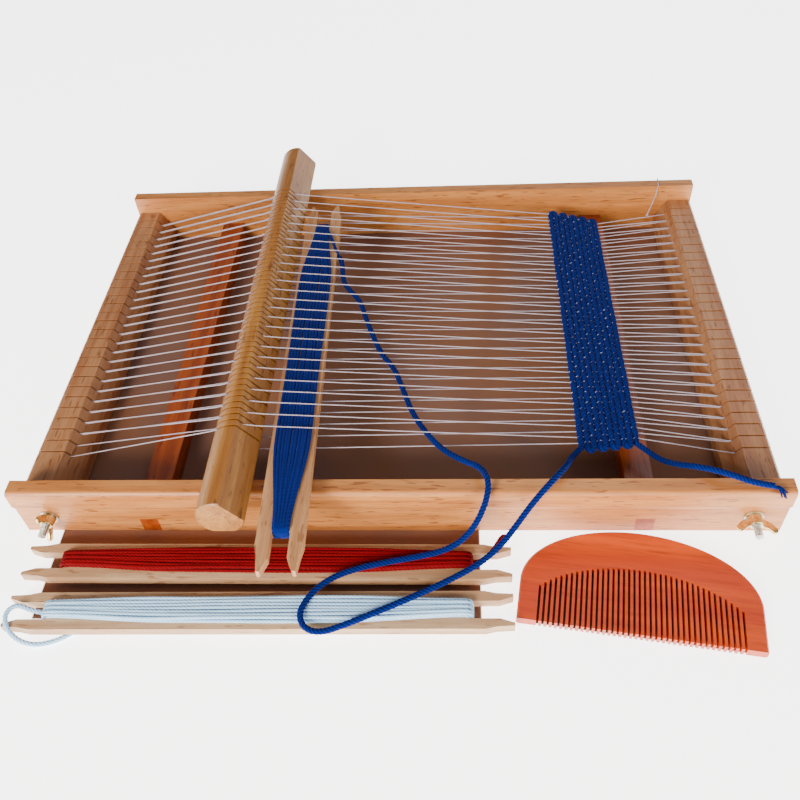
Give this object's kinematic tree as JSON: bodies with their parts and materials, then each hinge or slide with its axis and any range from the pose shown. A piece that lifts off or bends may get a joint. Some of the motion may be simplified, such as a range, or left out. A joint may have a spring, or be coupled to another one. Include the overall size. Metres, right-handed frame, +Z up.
{
  "type": "table loom",
  "caption": "Wooden table loom with a turning notched heddle bar, kerfed end boards on wing nuts, a strung warp, a woven band, flat shuttles of yarn and a half-moon comb.",
  "frame": {"origin": "middle of the front rail's underside", "axes": "+X along the rails, +Y from the front rail to the back rail, +Z up"},
  "size_m": [0.4008, 0.359, 0.057],
  "materials": {
    "beech_rail": "satin",
    "beech_inner": "satin",
    "beech_board": "satin",
    "beech_bar": "satin",
    "beech_shuttle": "matte",
    "peach_comb": "satin",
    "brass": "polished",
    "zinc_steel": "satin",
    "white_thread": "matte",
    "blue_yarn": "matte",
    "red_yarn": "matte",
    "white_yarn": "matte"
  },
  "bodies": {
    "root": {"front_rail": "beech_rail", "back_rail": "beech_rail", "left_crossbar": "beech_inner", "right_crossbar": "beech_inner", "warp_heddle_side": "white_thread", "warp_cloth_side": "white_thread", "warp_tie": "white_thread", "woven_band": "blue_yarn", "weft_yarn": "blue_yarn", "cloth_tail_yarn": "blue_yarn"},
    "left_board": {"left_end_board": "beech_board", "left_board_bolts": "zinc_steel"},
    "right_board": {"right_end_board": "beech_board", "right_board_bolts": "zinc_steel"},
    "heddle": {"heddle_bar": "beech_bar"},
    "blue_shuttle_body": {"blue_shuttle": "beech_shuttle", "blue_winding": "blue_yarn"},
    "red_shuttle_body": {"red_shuttle": "beech_shuttle", "red_winding": "red_yarn", "red_yarn_end": "red_yarn"},
    "white_shuttle_body": {"white_shuttle": "beech_shuttle", "white_winding": "white_yarn", "white_yarn_loop": "white_yarn"},
    "comb_body": {"comb": "peach_comb"},
    "left_front_washer_body": {"left_front_washer": "zinc_steel"},
    "left_front_nut_body": {"left_front_wing_nut": "brass"},
    "left_back_washer_body": {"left_back_washer": "zinc_steel"},
    "left_back_nut_body": {"left_back_wing_nut": "brass"},
    "right_front_washer_body": {"right_front_washer": "zinc_steel"},
    "right_front_nut_body": {"right_front_wing_nut": "brass"},
    "right_back_washer_body": {"right_back_washer": "zinc_steel"},
    "right_back_nut_body": {"right_back_wing_nut": "brass"}
  },
  "joints": [
    {"name": "heddle_turn", "type": "hinge", "parent": "root", "child": "heddle", "pos_m": [-0.08, 0.13, 0.045], "axis": [0, 1, 0], "range_deg": [0, 128], "deforming": ["warp_heddle_side"]},
    {"name": "blue_shuttle_slide", "type": "slide", "parent": "root", "child": "blue_shuttle_body", "axis": [0.0209, -0.9998, 0], "range_m": [0, 0.3]},
    {"name": "red_shuttle_slide", "type": "slide", "parent": "root", "child": "red_shuttle_body", "axis": [-1, 0, 0], "range_m": [0, 0.2]},
    {"name": "white_shuttle_slide", "type": "slide", "parent": "root", "child": "white_shuttle_body", "axis": [-0.9999, -0.0105, 0], "range_m": [0, 0.2]},
    {"name": "comb_slide", "type": "slide", "parent": "root", "child": "comb_body", "axis": [0, -1, 0], "range_m": [0, 0.12]},
    {"name": "left_board_tilt", "type": "hinge", "parent": "root", "child": "left_board", "pos_m": [-0.184, 0.13075, 0.013], "axis": [0, 1, 0], "range_deg": [-8, 8], "deforming": ["warp_heddle_side"]},
    {"name": "right_board_tilt", "type": "hinge", "parent": "root", "child": "right_board", "pos_m": [0.184, 0.13075, 0.013], "axis": [0, 1, 0], "range_deg": [-8, 8], "deforming": ["warp_cloth_side"]},
    {"name": "left_front_washer_slide", "type": "slide", "parent": "left_board", "child": "left_front_washer_body", "axis": [0, -1, 0], "range_m": [0, 0.00279]},
    {"name": "left_front_nut_turn", "type": "hinge", "parent": "left_front_washer_body", "child": "left_front_nut_body", "pos_m": [-0.184, -0.00875, 0.013], "axis": [0, -1, 0], "range_deg": [0, 1440]},
    {"name": "left_back_washer_slide", "type": "slide", "parent": "left_board", "child": "left_back_washer_body", "axis": [0, 1, 0], "range_m": [0, 0.00279]},
    {"name": "left_back_nut_turn", "type": "hinge", "parent": "left_back_washer_body", "child": "left_back_nut_body", "pos_m": [-0.184, 0.27025, 0.013], "axis": [0, 1, 0], "range_deg": [0, 1440]},
    {"name": "right_front_washer_slide", "type": "slide", "parent": "right_board", "child": "right_front_washer_body", "axis": [0, -1, 0], "range_m": [0, 0.00279]},
    {"name": "right_front_nut_turn", "type": "hinge", "parent": "right_front_washer_body", "child": "right_front_nut_body", "pos_m": [0.184, -0.00875, 0.013], "axis": [0, -1, 0], "range_deg": [0, 1440]},
    {"name": "right_back_washer_slide", "type": "slide", "parent": "right_board", "child": "right_back_washer_body", "axis": [0, 1, 0], "range_m": [0, 0.00279]},
    {"name": "right_back_nut_turn", "type": "hinge", "parent": "right_back_washer_body", "child": "right_back_nut_body", "pos_m": [0.184, 0.27025, 0.013], "axis": [0, 1, 0], "range_deg": [0, 1440]}
  ],
  "couplings": [
    {"joint": "left_front_nut_turn", "follows": "left_front_washer_slide", "rad_per_m": 8976},
    {"joint": "left_back_nut_turn", "follows": "left_back_washer_slide", "rad_per_m": 8976},
    {"joint": "right_front_nut_turn", "follows": "right_front_washer_slide", "rad_per_m": 8976},
    {"joint": "right_back_nut_turn", "follows": "right_back_washer_slide", "rad_per_m": 8976}
  ]
}
